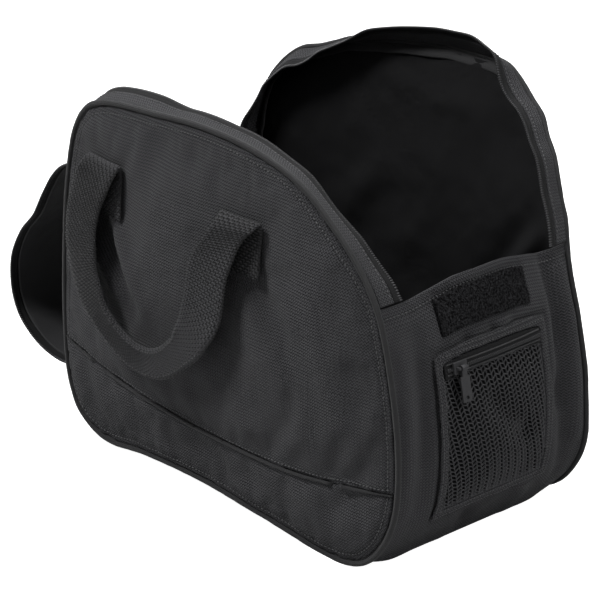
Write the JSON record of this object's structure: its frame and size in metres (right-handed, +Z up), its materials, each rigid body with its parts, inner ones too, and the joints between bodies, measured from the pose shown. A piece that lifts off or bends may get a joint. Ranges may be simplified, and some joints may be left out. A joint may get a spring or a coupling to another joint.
{
  "type": "motorcycle helmet bag",
  "caption": "Open-topped D-shaped carry bag for a motorcycle helmet, with a thrown-back zip lid, webbing handles and a mesh end pocket.",
  "frame": {"origin": "middle of the flat underside", "axes": "+X along the bag towards the pocket end, -Y out of the front panel, +Z up"},
  "size_m": [0.5159, 0.2936, 0.3415],
  "materials": {
    "outer_cloth": "matte black woven cloth",
    "lid_cloth": "smooth black cloth",
    "webbing": "ribbed black webbing",
    "piping": "black bound edge",
    "zip": "black zip tape with a coil",
    "hook_and_loop": "fuzzy black loops",
    "net": "black knitted net",
    "black_metal": "satin black"
  },
  "bodies": {
    "bag": {"front_panel": "outer_cloth", "front_lower_panel": "outer_cloth", "back_panel": "outer_cloth", "front_piping": "piping", "back_piping": "piping", "gusset": "outer_cloth", "front_band": "outer_cloth", "back_band": "outer_cloth", "front_zip": "zip", "back_zip": "zip", "lid": "lid_cloth", "lid_tab": "lid_cloth", "lid_front_zip": "zip", "lid_back_zip": "zip", "hook_patch": "hook_and_loop", "loop_patch": "hook_and_loop", "pocket_binding": "piping", "pocket_zip": "zip", "pocket_net": "net", "pocket_slider": "black_metal", "main_slider_front": "black_metal", "main_slider_back": "black_metal", "front_handle": "webbing", "back_handle": "webbing"},
    "pocket_pull": {"pocket_pull": "black_metal"}
  },
  "joints": [
    {"name": "pocket_pull_swing", "type": "hinge", "parent": "bag", "child": "pocket_pull", "pos_m": [0.20256, -0.0432, 0.16539], "axis": [0, -1, 0], "range_deg": [0, 150]}
  ]
}
